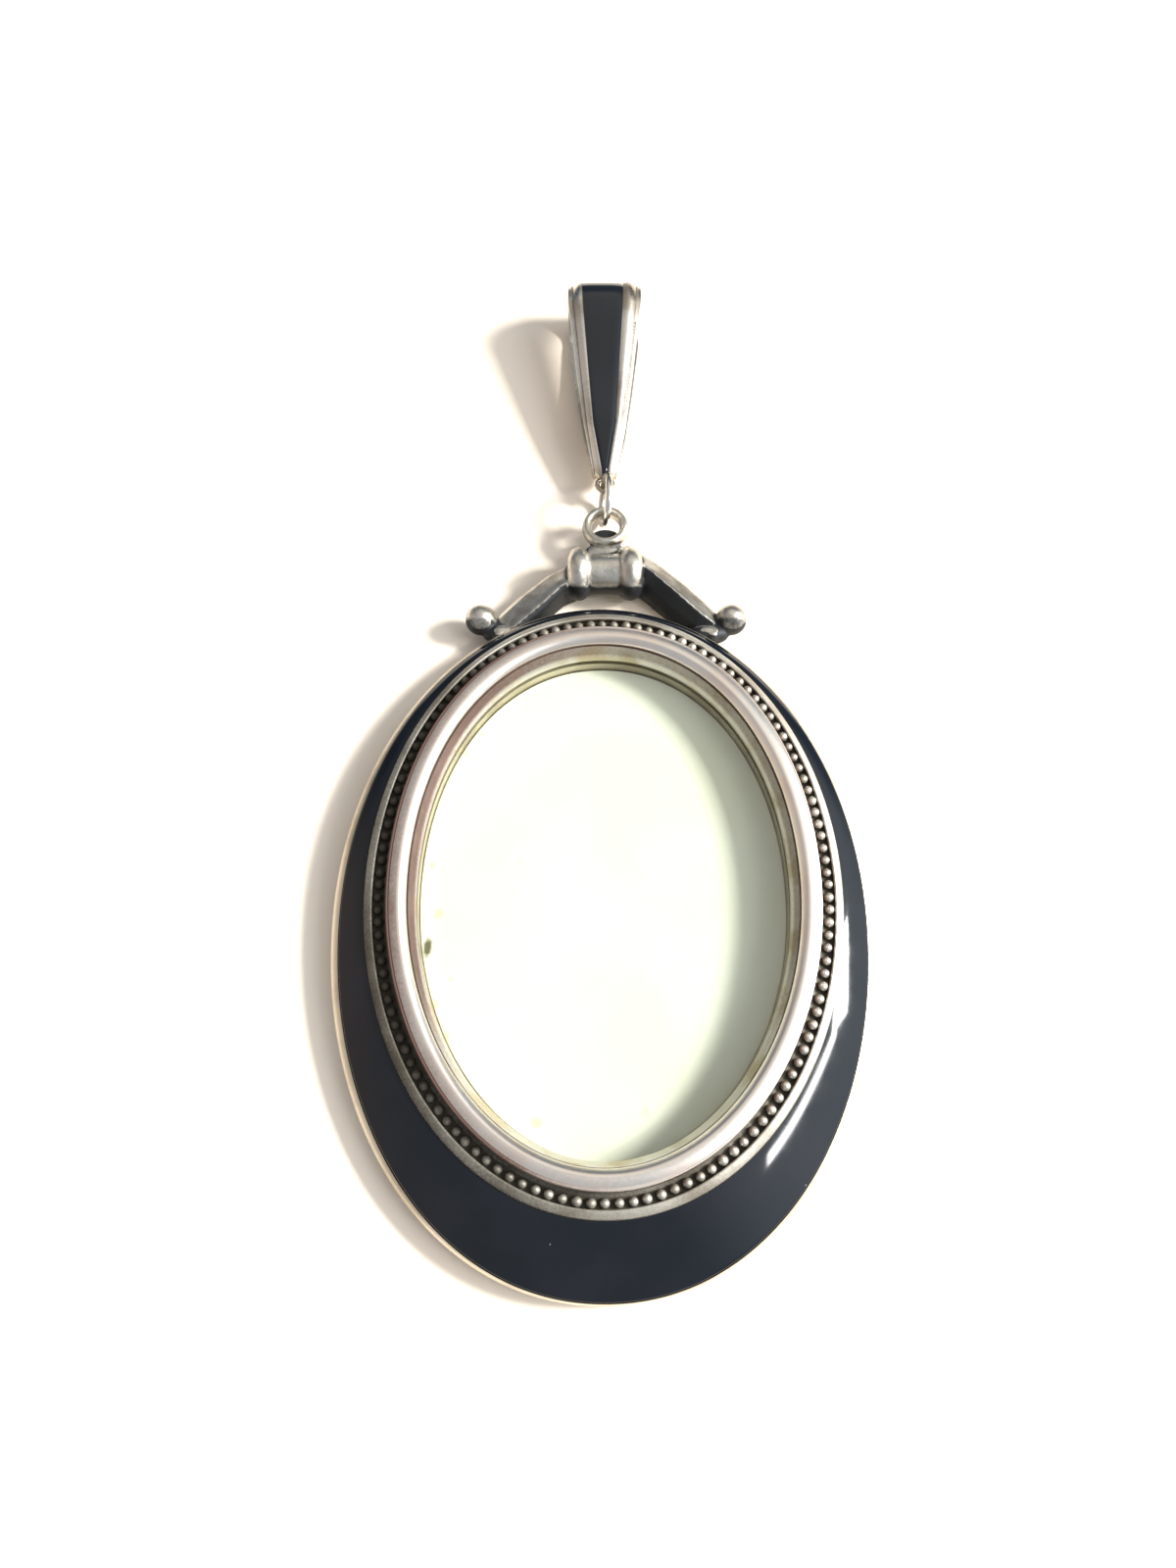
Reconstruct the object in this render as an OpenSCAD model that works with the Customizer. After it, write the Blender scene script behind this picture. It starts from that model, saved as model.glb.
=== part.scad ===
// Oval picture locket in silver and black enamel, lying on its back.
// Z = 0 is the back, +Z the glazed front and +Y the end with the chain loop.

/* [Case] */
// Width over the silver edge
case_w = 40; // [38:0.5:42]
// Length over the silver edge, without crest and loop
case_l = 53; // [51:0.5:55]
// Width of the bead border's outer oval
rim_w = 35.5; // [35:0.1:35.6]
// Length of the bead border's outer oval
rim_l = 46.4; // [46:0.1:46.6]
// Height of the bead border's centre above the case's centre, along Y
rim_rise = 1.85; // [1.6:0.05:1.9]
// Fullness of the ovals: 2 is a plain ellipse, more fills out the shoulders
fullness = 2.08; // [2:0.02:2.16]
// Silver edge that shows outside the enamel
edge_w = 0.22; // [0.2:0.01:0.4]
// Height of the silver edge
edge_h = 1.7; // [1.4:0.05:1.75]
// Height of the flat seat that carries border, bezel and glass
seat_z = 2.86; // [2.7:0.02:3]
// Thickness of the back plate
back_t = 0.6; // [0.5:0.05:0.8]

/* [Enamel] */
// Thickness of the enamel at its outer edge
enamel_edge = 0.25; // [0.2:0.01:0.3]
// Thickness of the enamel where it meets the border
enamel_inner = 0.45; // [0.35:0.01:0.55]

/* [Bead border] */
// Width of the outer rim wire
rim_wire = 0.6; // [0.5:0.05:0.7]
// Height of the rim wire above the seat
rim_wire_h = 0.9; // [0.8:0.05:1]
// Thickness of the groove's floor
groove_t = 0.36; // [0.3:0.02:0.4]
// Number of beads
bead_n = 128; // [120:1:130]
// Diameter of one bead
bead_d = 0.84; // [0.8:0.01:0.86]

/* [Bezel and glazing] */
// Inset of the bezel's outer edge from the border's outer oval
bezel_in = 1.78; // [1.74:0.01:1.8]
// Width of the bezel ring
bezel_w = 1.5; // [1.4:0.05:1.55]
// Height of the bezel's crest above the seat
bezel_h = 1.9; // [1.6:0.05:2.2]
// Width of the gilt lip
gilt_w = 0.48; // [0.4:0.02:0.6]
// Thickness of the front glass at its edge
glass_t = 0.5; // [0.4:0.05:0.6]
// Rise of the front glass from edge to middle
glass_rise = 0.5; // [0.3:0.05:0.6]
// Thickness of the white backing card
card_t = 0.3; // [0.2:0.05:0.4]

/* [Crest] */
// Sideways place of crest and loop, a little off the case's axis
crest_x = 0.35; // [0:0.05:0.5]
// Distance from the case's centre to the crest's spool
spool_y = 29.65; // [29.6:0.05:29.8]
// Radius of the spool between the collars
spool_r = 1.85; // [1.7:0.05:1.9]
// Radius of the two collars
collar_r = 2.15; // [2.1:0.01:2.2]
// Thickness of one collar
collar_t = 1.66; // [1.5:0.02:1.8]
// Distance between the middles of the collars
collar_gap = 4.1; // [4:0.05:4.2]
// Radius of the ball at the end of each arm
ball_r = 1.18; // [1.1:0.02:1.25]
// Distance between the two balls
ball_gap = 21; // [20.8:0.1:21.2]

/* [Rings] */
// Outer diameter of the crest's own ring
crest_ring_d = 3.48; // [3.4:0.02:3.5]
// Wire of the crest's own ring
crest_ring_wire = 0.68; // [0.6:0.02:0.7]
// Outer diameter of the jump ring
jump_d = 4.8; // [4.7:0.02:4.84]
// Wire of the jump ring
jump_wire = 0.64; // [0.6:0.02:0.66]
// Lean of the jump ring from upright
jump_lean = 8; // [0:1:10]

/* [Chain loop] */
// Distance from the case's centre to the far end of the loop
loop_end = 59.7; // [59:0.1:60]
// Outer radius of the loop's round end
loop_r = 3; // [2.95:0.01:3.05]
// Width of the loop at its round end
loop_w = 7.2; // [7:0.1:7.4]
// Width of the loop at its eye
loop_tip_w = 1.85; // [1.8:0.05:2]
// Thickness of the loop's strip
loop_t = 0.45; // [0.4:0.01:0.46]
// Height of the raised frame on the loop's front
loop_frame_t = 0.36; // [0.3:0.02:0.4]
// Flange left outside the raised frame at the round end
flange_w = 0.55; // [0.5:0.01:0.6]
// Flange left outside the raised frame at the eye
flange_tip_w = 0.15; // [0.1:0.01:0.2]
// Width of the enamel at the round end
loop_enamel_w = 4.3; // [4.1:0.1:4.5]

/* [Hidden] */

// Sides of an oval, and steps over a curved wall
oval_sides = 90;
dome_steps = 6;
// Clearance between neighbouring pieces
gap = 0.04;

case_half_w = case_w / 2;
case_half_l = case_l / 2;
rim_half_w = rim_w / 2;
rim_half_l = rim_l / 2;
ledge_z = seat_z - 0.96;
ledge_w = 0.5;
bezel_out = bezel_in + bezel_w;
groove_z = seat_z + gap + groove_t;
bead_in = (rim_wire + bezel_in) / 2;
enamel_top = seat_z + gap + enamel_inner;
ring_z = 2.5;
crest_ring_r = (crest_ring_d - crest_ring_wire) / 2;
neck_l = 0.98;
crest_ring_y = spool_y + spool_r + neck_l + crest_ring_d / 2;
jump_r = (jump_d - jump_wire) / 2;
jump_y = crest_ring_y + crest_ring_r - crest_ring_wire / 2 - 0.53 + jump_r;
jump_z = jump_d / 2 + 0.1;
eye_wire = 0.44;
eye_r = 0.68;
eye_z = 2;
eye_y = jump_y + sqrt(jump_r * jump_r - pow(jump_z - eye_z, 2));
tip_r = 0.6;
tip_y = eye_y + eye_r + tip_r + 0.02;
bend_y = loop_end - loop_r - loop_frame_t;
bend_z = loop_r;
loop_enamel_t = loop_frame_t - 0.06;
// The origin lies under the middle of the whole piece
origin_y = (loop_end - case_half_l) / 2;

module placed() {
    translate([0, -origin_y, 0])
        children();
}

// An oval section is a row of half width, half length, centre along Y, height
function inset(d, z) = [rim_half_w - d, rim_half_l - d, rim_rise, z];

function mix(a, b, s) = a + (b - a) * s;

// Oval between the enamel's outer and inner edge, at a share s of the way in
function crescent(s, grow, z) = [
    mix(case_half_w - edge_w, rim_half_w, s) + grow,
    mix(case_half_l - edge_w, rim_half_l, s) + grow,
    mix(0, rim_rise, s),
    z
];

// Height of a slightly domed slope from z0 to z1, a little steeper at its foot
function dome(z0, z1, s) = mix(z0, z1, 0.75 * s + 0.25 * sin(90 * s));

// Power of a number that keeps its sign
function bend(v) = sign(v) * pow(abs(v), 2 / fullness);

function on_oval(row, t) = [row[0] * bend(cos(t)), row[2] + row[1] * bend(sin(t)), row[3]];

function oval_points(row, n) = [for (i = [0:n - 1]) on_oval(row, 360 * i / n)];

// Solid through a list of oval sections, from its lower outside inwards over the top.
// A closed one returns to its first section, an open one has flat ends.
module loft(rows, closed = false) {
    n = oval_sides;
    m = len(rows);
    last = closed ? m - 1 : m - 2;
    walls = [
        for (j = [0:last])
            for (i = [0:n - 1])
                let (k = (j + 1) % m, next = (i + 1) % n)
                    each [[j * n + i, k * n + i, k * n + next], [j * n + i, k * n + next, j * n + next]]
    ];
    first_cap = [[for (i = [0:n - 1]) i]];
    last_cap = [[for (i = [n - 1:-1:0]) (m - 1) * n + i]];
    points = [for (row = rows) each oval_points(row, n)];
    polyhedron(points, closed ? walls : concat(walls, first_cap, last_cap), convexity = 6);
}

module flat_oval(row) {
    polygon([for (p = oval_points(row, oval_sides)) [p[0], p[1]]]);
}

module flat_ring(outer, inner, h) {
    translate([0, 0, outer[3]])
        linear_extrude(h)
            difference() {
                flat_oval(outer);
                flat_oval(inner);
            }
}

// Silver case: back plate, rolled edge, dome under the enamel, seat and well for the glass
module frame() {
    steps = [for (i = [0:dome_steps]) i / dome_steps];
    edge_round = 0.3;
    placed() color("silver")
        loft(concat(
            [
                [case_half_w - edge_round, case_half_l - edge_round, 0, 0],
                [case_half_w, case_half_l, 0, edge_round],
                [case_half_w, case_half_l, 0, edge_h - edge_round],
                [case_half_w - edge_w / 2, case_half_l - edge_w / 2, 0, edge_h]
            ],
            [for (s = steps) crescent(s, 0, dome(edge_h - 0.06, seat_z, s))],
            [
                inset(bezel_out, seat_z),
                inset(bezel_out, ledge_z),
                inset(bezel_out + ledge_w, ledge_z),
                inset(bezel_out + ledge_w, back_t)
            ]
        ));
}

// Black enamel crescent, domed, wide at the foot of the case and narrow at the crest
module enamel() {
    steps = [for (i = [0:dome_steps]) i / dome_steps];
    outer_z = edge_h + enamel_edge;
    placed() color([0.07, 0.09, 0.12])
        loft(concat(
            [for (s = steps) crescent(s, 0, dome(outer_z, enamel_top, s))],
            [for (i = [dome_steps:-1:0]) let (s = i / dome_steps)
                crescent(s, 0, dome(edge_h - 0.06, seat_z, s) + gap)]
        ), closed = true);
}

// Distance that a point moves along an oval, per degree
function pace(row, t) = norm(on_oval(row, t + 0.5) - on_oval(row, t - 0.5));

function sum(v, i = 0) = i < len(v) ? v[i] + sum(v, i + 1) : 0;

function oval_length(row) = sum([for (t = [0.5:359.5]) pace(row, t)]);

// Angles that lie the same distance apart along an oval
function even_angles(row, n) =
    let (step = oval_length(row) / n)
        [for (i = 0, t = -90; i < n; i = i + 1, t = t + step / pace(row, t + step / pace(row, t) / 2)) t];

// Rim wire, groove floor and the beads in the groove, soldered together
module bead_border() {
    floor_z = seat_z + gap;
    row = inset(bead_in, groove_z + bead_d * 0.3);
    set = 0.11;
    placed() color([0.72, 0.71, 0.68])
        union() {
            flat_ring(inset(gap, floor_z), inset(bezel_in - gap, floor_z), groove_t);
            flat_ring(inset(gap, floor_z), inset(rim_wire, floor_z), rim_wire_h * 0.8);
            flat_ring(inset(gap + 0.14, floor_z), inset(rim_wire - 0.14, floor_z), rim_wire_h);
            for (t = even_angles(row, bead_n))
                translate(on_oval(row, t) + [set, set, 0])
                    sphere(d = bead_d, $fn = 16);
        }
}

// Half-round bezel with a fine ridge along its outer edge
module bezel() {
    foot_z = seat_z + gap;
    shoulder_z = seat_z + bezel_h * 0.62;
    half = bezel_w / 2;
    ridge = 0.14;
    rise = seat_z + bezel_h - shoulder_z;
    placed() color([0.88, 0.87, 0.85])
        loft(concat(
            [
                inset(bezel_in + gap, foot_z),
                inset(bezel_in, shoulder_z - ridge),
                inset(bezel_in + ridge / 2, shoulder_z + ridge / 2),
                inset(bezel_in + ridge * 1.4, shoulder_z + ridge / 3)
            ],
            [for (a = [30:20:150])
                inset(bezel_in + half - (half - ridge) * cos(a), shoulder_z + rise * sin(a))],
            [
                inset(bezel_out, shoulder_z - ridge),
                inset(bezel_out, foot_z)
            ]
        ), closed = true);
}

// Gilt lip that holds the glass down inside the bezel
module gilt_ring() {
    foot_z = ledge_z + gap + glass_t + gap;
    placed() color([0.82, 0.72, 0.48])
        loft([
            inset(bezel_out + gap, foot_z),
            inset(bezel_out + gap, seat_z + 0.3),
            inset(bezel_out + gap + gilt_w * 0.25, seat_z + 0.32),
            inset(bezel_out + gap + gilt_w * 0.75, seat_z + 0.1),
            inset(bezel_out + gap + gilt_w, seat_z - 0.12),
            inset(bezel_out + gap + gilt_w, foot_z)
        ], closed = true);
}

// Slightly domed front glass, flat at its edge under the gilt lip
module glass() {
    edge = inset(bezel_out + gap, ledge_z + gap);
    lens = inset(bezel_out + gap * 2 + gilt_w, ledge_z + gap + glass_t);
    steps = [0.25, 0.5, 0.75, 0.92];
    placed() color([0.85, 0.92, 0.9, 0.35])
        loft(concat(
            [
                edge,
                [edge[0], edge[1], edge[2], edge[3] + glass_t],
                lens
            ],
            [for (s = steps)
                [lens[0] * (1 - s), lens[1] * (1 - s), lens[2], lens[3] + glass_rise * (1 - pow(1 - s, 2))]]
        ));
}

// White card that backs the window, on the floor of the case
module card() {
    row = inset(bezel_out + ledge_w + 0.1, back_t + gap);
    placed() color([0.97, 0.96, 0.92])
        translate([0, 0, row[3]])
            linear_extrude(card_t)
                flat_oval(row);
}

// Half of an arm's section: share across, share of the height, from the far side to the near side
arm_section = [[-1, -1], [-1, -0.15], [-0.72, 0.42], [0.05, 1], [0.78, 0.2], [1, -0.3], [1, -1]];
// Stations along one arm: x, y, half width, half height
arm_stations = [
    [collar_gap / 2, spool_y + 0.2, 1.85, 1.6],
    [4, 29.4, 1.5, 1.5],
    [6, 27.5, 1.6, 1.36],
    [8.2, 25.5, 1.35, 1.16],
    [9.6, 24.4, 0.82, 0.95]
];
arm_foot = 0.35;

function heading(i) =
    let (a = arm_stations[max(i - 1, 0)], b = arm_stations[min(i + 1, len(arm_stations) - 1)])
        atan2(b[1] - a[1], b[0] - a[0]);

// Sloping arm with a ridge along it, a ball at its end and a foot on the case
module arm() {
    n = len(arm_section);
    m = len(arm_stations);
    points = [
        for (i = [0:m - 1])
            let (s = arm_stations[i], a = i == 0 ? 0 : heading(i))
                for (p = arm_section)
                    [s[0] + p[0] * s[2] * sin(a), s[1] - p[0] * s[2] * cos(a), arm_foot + (p[1] + 1) * s[3]]
    ];
    walls = [
        for (i = [0:m - 2])
            for (k = [0:n - 1])
                let (next = (k + 1) % n)
                    each [
                        [i * n + k, (i + 1) * n + next, i * n + next],
                        [i * n + k, (i + 1) * n + k, (i + 1) * n + next]
                    ]
    ];
    polyhedron(points, concat(walls, [[for (k = [0:n - 1]) k], [for (k = [n - 1:-1:0]) (m - 1) * n + k]]));
    ball = [ball_gap / 2, 25.2, 1.9];
    foot = [9.3, 22.95, arm_foot + 0.85];
    translate(ball)
        sphere(r = ball_r, $fn = 48);
    hull() {
        translate([ball[0] - 0.9, ball[1] - 0.6, ball[2] - 0.5])
            sphere(r = 0.75, $fn = 20);
        translate(foot)
            sphere(r = 0.8, $fn = 20);
    }
    translate([9.4, 24.1, 1.95])
        sphere(r = 0.55, $fn = 24);
}

// Cast crest: spool with two collars, two arms with balls, and the ring on its top
module crest() {
    placed() color([0.6, 0.6, 0.58])
        translate([crest_x, 0, 0])
            difference() {
                union() {
                    translate([0, spool_y, collar_r])
                        rotate([0, 90, 0])
                            cylinder(r = spool_r, h = collar_gap, center = true, $fn = 64);
                    for (side = [-1, 1])
                        translate([side * collar_gap / 2, spool_y, collar_r])
                            rotate([0, 90, 0])
                                rotate_extrude($fn = 64)
                                    collar_half();
                    arm();
                    mirror([1, 0, 0])
                        arm();
                    crest_eye();
                }
                case_space();
            }
}

// Ring on the crest's top and the neck that it stands on
module crest_eye() {
    neck_w = 3.2;
    neck_h = 1.1;
    translate([0, crest_ring_y, ring_z])
        rotate_extrude($fn = 64)
            translate([crest_ring_r, 0])
                circle(d = crest_ring_wire, $fn = 24);
    translate([-neck_w / 2, spool_y, ring_z - neck_h / 2])
        cube([neck_w, crest_ring_y - crest_ring_r - spool_y, neck_h]);
}

// Half section of a collar: a rounded disc
module collar_half() {
    bead = collar_t / 2;
    union() {
        translate([collar_r - bead, 0])
            circle(r = bead, $fn = 32);
        translate([0, -bead])
            square([collar_r - bead, collar_t]);
    }
}

// The room that the case takes, cut from the feet of the crest
module case_space() {
    translate([-crest_x, 0, -1])
        linear_extrude(edge_h + 1 + gap)
            flat_oval([case_half_w + gap, case_half_l + gap, 0, 0]);
    translate([-crest_x, 0, 0])
        loft(concat(
            [crescent(0, 2 * gap, edge_h - enamel_edge)],
            [for (i = [0:dome_steps]) let (s = i / dome_steps)
                crescent(s, 2 * gap, dome(edge_h + enamel_edge, enamel_top, s) + 2 * gap)]
        ));
    translate([-crest_x, 0, enamel_top - 0.5])
        linear_extrude(3)
            flat_oval(inset(-2 * gap, 0));
}

// Ring that links the crest's ring with the loop's eye
module jump_ring() {
    placed() color([0.75, 0.75, 0.73])
        translate([crest_x, jump_y, jump_z])
            rotate([0, 90 + jump_lean, 0])
                rotate_extrude($fn = 72)
                    translate([jump_r, 0])
                        circle(d = jump_wire, $fn = 24);
}

// Points of an arc in the side view, from angle a to angle b
function arc(cy, cz, r, a, b, n) = [for (i = [0:n]) let (t = mix(a, b, i / n)) [cy + r * cos(t), cz + r * sin(t)]];

lean = atan2(bend_z - eye_z, bend_y - tip_y);
reach = norm([bend_y - tip_y, bend_z - eye_z]);

// Side view of the loop: round end and tip joined by their tangents, all grown by extra
function teardrop(end_r, tip_r, extra) =
    let (half = asin((end_r - tip_r) / reach))
        concat(
            arc(bend_y, bend_z, end_r + extra, -90 - half + lean, 90 + half + lean, 36),
            arc(tip_y, eye_z, tip_r + extra, 90 + half + lean, 270 - half + lean, 12)
        );

// Body between two side views, as wide as the tapered plan
module strip(outer, inner, tip_half, end_half) {
    intersection() {
        rotate([90, 0, 90])
            translate([0, 0, -loop_w])
                linear_extrude(2 * loop_w)
                    difference() {
                        polygon(outer);
                        polygon(inner);
                    }
        taper(tip_half, end_half);
    }
}

module taper(tip_half, end_half) {
    start = tip_y - tip_r - 0.5;
    stop = loop_end + 0.5;
    translate([0, 0, -1])
        linear_extrude(loop_r * 2 + 4)
            polygon([[-tip_half, start], [tip_half, start], [end_half, stop], [-end_half, stop]]);
}

// Front of the loop, from a little above the tip to the far end of the bend
module front_half(inward) {
    rotate([90, 0, 90])
        translate([0, 0, -loop_w])
            linear_extrude(2 * loop_w)
                polygon([
                    [tip_y - 0.3 + inward, eye_z],
                    [bend_y, bend_z + inward],
                    [bend_y + 2 * loop_r, bend_z + inward],
                    [bend_y + 2 * loop_r, bend_z + 3 * loop_r],
                    [tip_y - 0.3 + inward, bend_z + 3 * loop_r]
                ]);
}

// Tapered silver strip folded into a loop, its raised frame and the eye at its tip
module bail() {
    outline = teardrop(loop_r, tip_r, 0);
    hollow = teardrop(loop_r - loop_t, 0.14, 0);
    raised = teardrop(loop_r, tip_r, loop_frame_t);
    recess = teardrop(loop_r, tip_r, loop_frame_t - loop_enamel_t - gap);
    placed() color([0.8, 0.79, 0.77])
        translate([crest_x, 0, 0]) {
            difference() {
                union() {
                    strip(outline, hollow, loop_tip_w / 2, loop_w / 2);
                    intersection() {
                        strip(raised, hollow, loop_tip_w / 2 - flange_tip_w, loop_w / 2 - flange_w);
                        front_half(0);
                    }
                }
                intersection() {
                    strip(teardrop(loop_r, tip_r, loop_frame_t + 1), recess, 0.06, loop_enamel_w / 2 + gap);
                    front_half(0.5);
                }
            }
            translate([0, eye_y, eye_z])
                rotate_extrude($fn = 48)
                    translate([eye_r, 0])
                        circle(d = eye_wire, $fn = 20);
        }
}

// Black enamel wedge let into the loop's raised frame
module bail_enamel() {
    top = teardrop(loop_r, tip_r, loop_frame_t - 0.02);
    floor_line = teardrop(loop_r, tip_r, loop_frame_t - loop_enamel_t);
    placed() color([0.07, 0.09, 0.12])
        translate([crest_x, 0, 0])
            intersection() {
                strip(top, floor_line, 0.03, loop_enamel_w / 2);
                front_half(0.5 + gap);
            }
}

frame();
enamel();
bead_border();
bezel();
gilt_ring();
glass();
card();
crest();
jump_ring();
bail();
bail_enamel();
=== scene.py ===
import math
import random

import bmesh
import bpy
import numpy as np
from mathutils import Matrix, Vector


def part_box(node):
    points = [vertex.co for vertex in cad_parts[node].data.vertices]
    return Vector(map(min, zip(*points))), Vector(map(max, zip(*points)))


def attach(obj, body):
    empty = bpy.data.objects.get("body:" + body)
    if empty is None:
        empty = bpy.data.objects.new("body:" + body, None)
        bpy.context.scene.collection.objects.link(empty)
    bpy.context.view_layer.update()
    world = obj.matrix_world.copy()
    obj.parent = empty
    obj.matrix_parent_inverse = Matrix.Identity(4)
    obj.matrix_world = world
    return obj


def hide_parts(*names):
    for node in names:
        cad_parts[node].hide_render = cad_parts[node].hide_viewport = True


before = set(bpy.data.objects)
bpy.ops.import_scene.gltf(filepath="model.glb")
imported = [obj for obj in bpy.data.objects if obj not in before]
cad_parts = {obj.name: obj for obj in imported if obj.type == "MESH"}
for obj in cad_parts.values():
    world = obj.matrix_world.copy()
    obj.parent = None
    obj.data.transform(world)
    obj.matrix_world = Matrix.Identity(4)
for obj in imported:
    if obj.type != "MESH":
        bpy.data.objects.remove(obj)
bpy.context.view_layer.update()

# Silver case. A shallow oval body of worn silver that lies on its flat back: a rolled edge,
# a dome that carries the enamel, and a well in the middle for the glass. It is one casting
# here, and everything else on the front is set on its seat.
MM = 0.001
# Air left between neighbouring pieces, and the exponent of an oval that is fuller than an ellipse
GAP = 0.04
FULLNESS = 2.08
OVAL_STEPS = 360
EDGE_W, EDGE_Z = 0.6, 1.7
# How far the worn edge stands out past the solid's, across and along
EDGE_OUT_W, EDGE_OUT_L = 0.19, 0.06
# How much higher the edge stands at the far end, and the share of that by which it leans back
EDGE_LIFT, LIFT_LEAN = 0.9, 0.45
LIP_W = 0.48


def box_mm(node):
    """Lowest and highest corner of a solid, in millimetres."""
    return [np.array(corner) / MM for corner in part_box(node)]


case_low, case_high = box_mm("frame")
rim_low, rim_high = box_mm("bead_border")
lip_low, lip_high = box_mm("gilt_ring")
case_w = (case_high - case_low)[0] / 2 + EDGE_OUT_W
case_l = (case_high - case_low)[1] / 2 + EDGE_OUT_L
rim_w, rim_l = (rim_high - rim_low)[:2] / 2 + GAP
case_y = (case_high + case_low)[1] / 2
rim_y = (rim_high + rim_low)[1] / 2
seat_z = rim_low[2] - GAP
bezel_w = box_mm("bezel")[1][0]
well_w = lip_high[0] + GAP
sight_w = lip_high[0] - LIP_W

# The ovals that the front is drawn on: half width, half length, middle along and across, and
# fullness of the far and of the near half
OVALS = np.array([
    (0, 0, rim_y, 0, FULLNESS, 2.0),
    (sight_w, sight_w + rim_l - rim_w, rim_y, 0, FULLNESS, 1.99),
    (bezel_w, bezel_w + rim_l - rim_w, rim_y, 0, FULLNESS, 1.99),
    (rim_w, rim_l, rim_y, 0, 2.0, 2.01),
    (case_w - EDGE_W, case_l - 0.22, case_y - 0.12, -0.03, 2.0, FULLNESS),
    (case_w, case_l, case_y - 0.06, -0.15, 2.0, FULLNESS),
])


def clamp(value):
    """The value, kept between 0 and 1."""
    return min(max(value, 0), 1)


def on_oval(half_width, turn):
    """Point on the oval of that half width, at an angle in radians."""
    oval = [np.interp(half_width, OVALS[:, 0], column) for column in OVALS[:, 1:].T]
    half_length, along, across, far, near = oval
    fullness = far if math.sin(turn) > 0 else near
    x, y = [math.copysign(abs(v) ** (2 / fullness), v) for v in (math.cos(turn), math.sin(turn))]
    return across + half_width * x, along + half_length * y


def edge_lift(half_width, turn):
    """How much higher the case's edge stands, which is most at the far end."""
    share = clamp((half_width - rim_w) / (case_w - EDGE_W - rim_w))
    far = clamp(0.5 + 0.75 * math.sin(turn))
    return EDGE_LIFT * share * far * far * (3 - 2 * far)


def arc(centre, radius, start, stop, steps):
    """Points of a round stretch of an outline, between two angles in degrees."""
    turns = [math.radians(start + (stop - start) * i / steps) for i in range(steps + 1)]
    return [(centre[0] + radius * math.cos(t), centre[1] + radius * math.sin(t)) for t in turns]


def dome(low, high, share):
    """Height of a slightly domed slope, a little steeper at its foot."""
    return low + (high - low) * (0.75 * share + 0.25 * math.sin(share * math.pi / 2))


def across_crescent(share):
    """Half width at a share of the way from the enamel's outer to its inner edge."""
    return case_w - EDGE_W + (rim_w - case_w + EDGE_W) * share


def spin_round(bm, geom, steps, centre=(0, 0, 0), axis=(0, 0, 1)):
    """Spins an outline once round an axis and joins its ends."""
    bmesh.ops.spin(bm, geom=geom, cent=centre, axis=axis, dvec=(0, 0, 0), angle=2 * math.pi,
                   steps=steps, use_merge=True, use_normal_flip=False, use_duplicate=False)


def oval_ring(outline, dark=None, closed=True):
    """Spins an outline of half widths and heights, and lays each turn of it on its oval.
    dark gives the tarnish of a point of the outline."""
    bm = bmesh.new()
    tarnish_and_shade = bm.verts.layers.float.new("tarnish_and_shade")
    chain = [bm.verts.new((point[0], 0, point[1])) for point in outline]
    for vert, point in zip(chain, outline):
        vert[tarnish_and_shade] = dark(*point) if dark else 0
    following = chain[1:] + chain[:1] if closed else chain[1:]
    edges = [bm.edges.new(pair) for pair in zip(chain, following)]
    spin_round(bm, chain + edges, OVAL_STEPS)
    for vert in bm.verts:
        half_width, turn = math.hypot(vert.co.x, vert.co.y), math.atan2(vert.co.y, vert.co.x)
        lift = edge_lift(half_width, turn) * min(vert.co.z / EDGE_Z, 1)
        x, y = on_oval(half_width, turn)
        vert.co = (x, y - LIFT_LEAN * lift, vert.co.z + lift)
    return bm


def set_down(name, bm, material, node, sharp=40):
    """Closes a mesh in millimetres and makes it the piece that stands for a solid."""
    bmesh.ops.remove_doubles(bm, verts=bm.verts, dist=0.002)
    bmesh.ops.recalc_face_normals(bm, faces=bm.faces)
    for face in bm.faces:
        face.smooth = True
    for edge in bm.edges:
        edge.smooth = edge.calc_face_angle(0) < math.radians(sharp)
    bmesh.ops.scale(bm, vec=(MM, MM, MM), verts=bm.verts)
    mesh = bpy.data.meshes.new(name)
    bm.to_mesh(mesh)
    bm.free()
    mesh.materials.append(material)
    piece = bpy.data.objects.new(name, mesh)
    bpy.context.collection.objects.link(piece)
    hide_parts(node)
    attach(piece, "root")
    return piece


def find_socket(sockets, key):
    """Socket by number, or the first one in use that has that name."""
    if isinstance(key, int):
        return sockets[key]
    return next(s for s in sockets if s.enabled and key in (None, s.name))


def feed(tree, socket, value):
    """Links a wire to a socket, or sets a plain value on it."""
    if isinstance(value, Wire):
        tree.links.new(value.socket, socket)
    else:
        socket.default_value = value


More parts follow.
